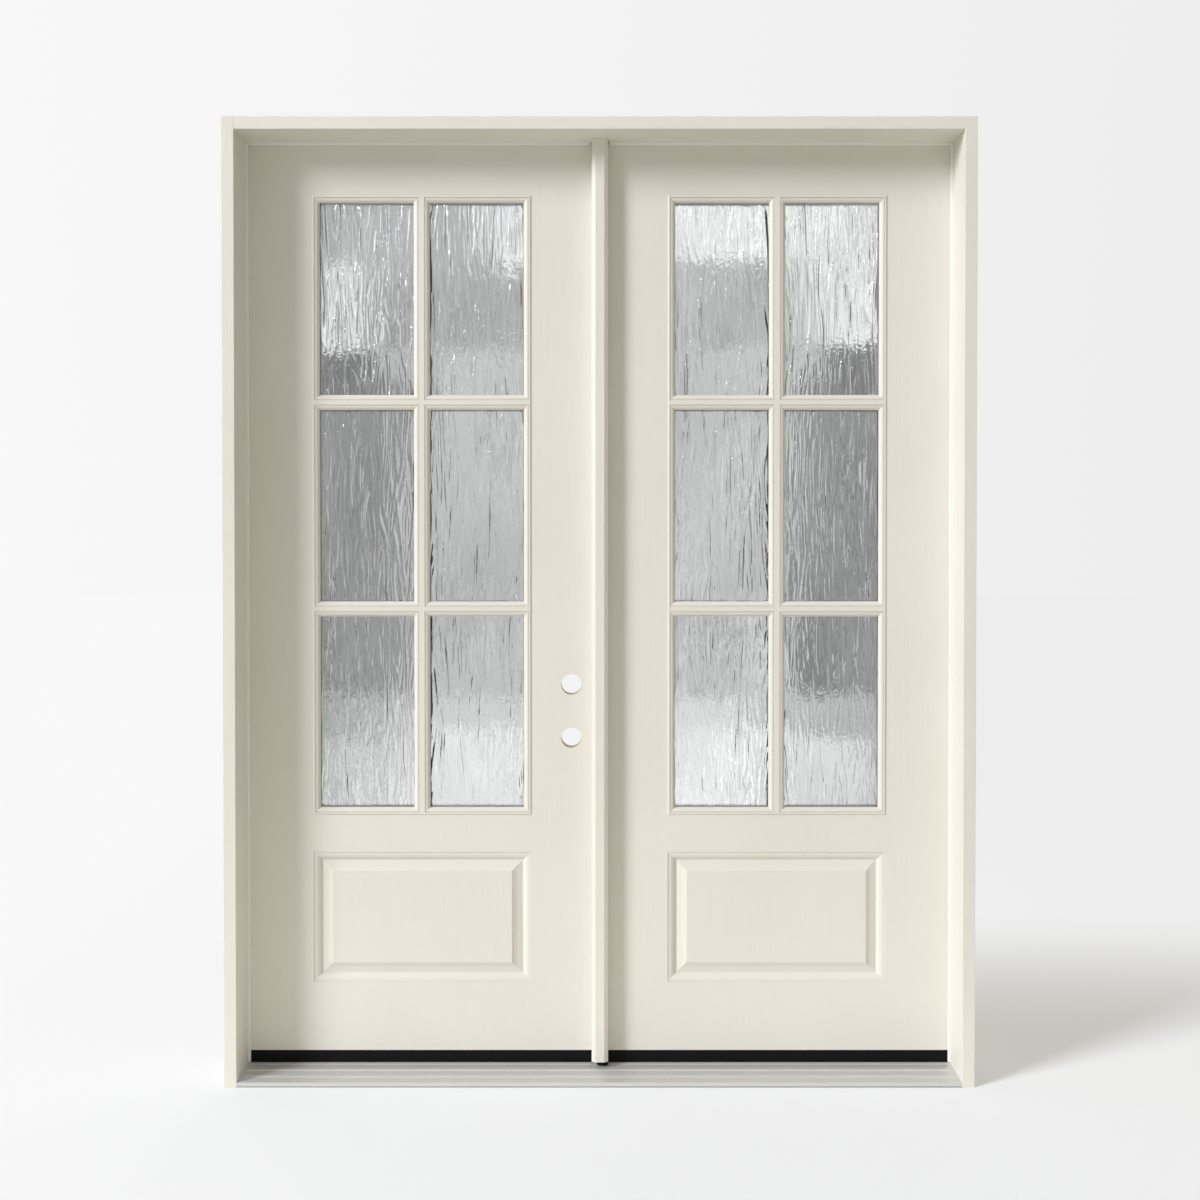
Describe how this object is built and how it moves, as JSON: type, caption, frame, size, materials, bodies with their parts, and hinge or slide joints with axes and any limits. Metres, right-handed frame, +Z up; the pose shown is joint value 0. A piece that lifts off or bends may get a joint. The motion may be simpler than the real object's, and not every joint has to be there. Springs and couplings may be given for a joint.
{
  "type": "french doors",
  "caption": "Pre-hung pair of inswing glazed doors in a rabbeted frame: gridded rain glass over raised panels, an astragal at the meeting edge, butt hinges and a ribbed sill.",
  "frame": {"origin": "middle of the sill's underside, half way through the depth of the frame", "axes": "X to the right seen from outdoors, Y from outdoors to indoors, Z up"},
  "size_m": [1.905, 0.1817, 2.456],
  "materials": {
    "painted_frame": "satin cream paint",
    "painted_skin": "satin cream paint on faint wood grain",
    "painted_lite": "satin cream paint",
    "painted_astragal": "satin cream paint",
    "soft_seal": "soft cream vinyl",
    "weatherstrip": "soft off-white foam",
    "black_rubber": "matt black",
    "rain_glass": "vertical rain pattern",
    "aluminium": "mill",
    "sill_aluminium": "satin, ribbed",
    "dark_cap": "matt black",
    "sill_composite": "matt",
    "foam": "foam",
    "edge_wood": "bare edge timber",
    "steel": "satin"
  },
  "bodies": {
    "frame": {"frame_screws": "steel", "head_jamb": "painted_frame", "head_strike": "steel", "hinge_pins_left": "steel", "hinge_pins_right": "steel", "hinge_plates_frame_left": "steel", "hinge_plates_frame_right": "steel", "hinge_screws_frame_left": "steel", "hinge_screws_frame_right": "steel", "jamb_left": "painted_frame", "jamb_right": "painted_frame", "sill_base": "sill_composite", "sill_cap": "dark_cap", "sill_deck": "sill_aluminium", "sill_strike": "steel", "weatherstrip_head_left": "weatherstrip", "weatherstrip_head_right": "weatherstrip", "weatherstrip_left": "weatherstrip", "weatherstrip_right": "weatherstrip"},
    "active_leaf": {"active_bottom_rail": "edge_wood", "active_core": "foam", "active_glass_exterior": "rain_glass", "active_glass_interior": "rain_glass", "active_glazing_spacer": "aluminium", "active_hinge_stile": "edge_wood", "active_lite_exterior": "painted_lite", "active_lite_interior": "painted_lite", "active_lock_block": "edge_wood", "active_lock_stile": "edge_wood", "active_skin_exterior": "painted_skin", "active_skin_interior": "painted_skin", "active_sweep": "black_rubber", "active_top_rail": "edge_wood", "hinge_plates_leaf_left": "steel", "hinge_screws_leaf_left": "steel"},
    "passive_leaf": {"passive_bottom_rail": "edge_wood", "passive_core": "foam", "passive_glass_exterior": "rain_glass", "passive_glass_interior": "rain_glass", "passive_glazing_spacer": "aluminium", "passive_hinge_stile": "edge_wood", "passive_lite_exterior": "painted_lite", "passive_lite_interior": "painted_lite", "passive_lock_stile": "edge_wood", "passive_skin_exterior": "painted_skin", "passive_skin_interior": "painted_skin", "passive_sweep": "black_rubber", "passive_top_rail": "edge_wood", "hinge_plates_leaf_right": "steel", "hinge_screws_leaf_right": "steel", "astragal": "painted_astragal", "astragal_seal": "soft_seal", "astragal_boot": "black_rubber", "astragal_screws": "steel"},
    "top_bolt": {"top_bolt": "steel"},
    "bottom_bolt": {"bottom_bolt": "steel"}
  },
  "joints": [
    {"name": "active_swing", "type": "hinge", "parent": "frame", "child": "active_leaf", "pos_m": [-0.93195, 0.09185, 1.25], "axis": [0, 0, 1], "range_deg": [0, 170]},
    {"name": "passive_swing", "type": "hinge", "parent": "frame", "child": "passive_leaf", "pos_m": [0.93195, 0.09185, 1.25], "axis": [0, 0, -1], "range_deg": [0, 170], "deforming": ["astragal_seal"]},
    {"name": "top_bolt_slide", "type": "slide", "parent": "passive_leaf", "child": "top_bolt", "axis": [0, 0, 1], "range_m": [0, 0.015]},
    {"name": "bottom_bolt_slide", "type": "slide", "parent": "passive_leaf", "child": "bottom_bolt", "axis": [0, 0, -1], "range_m": [0, 0.015]}
  ]
}
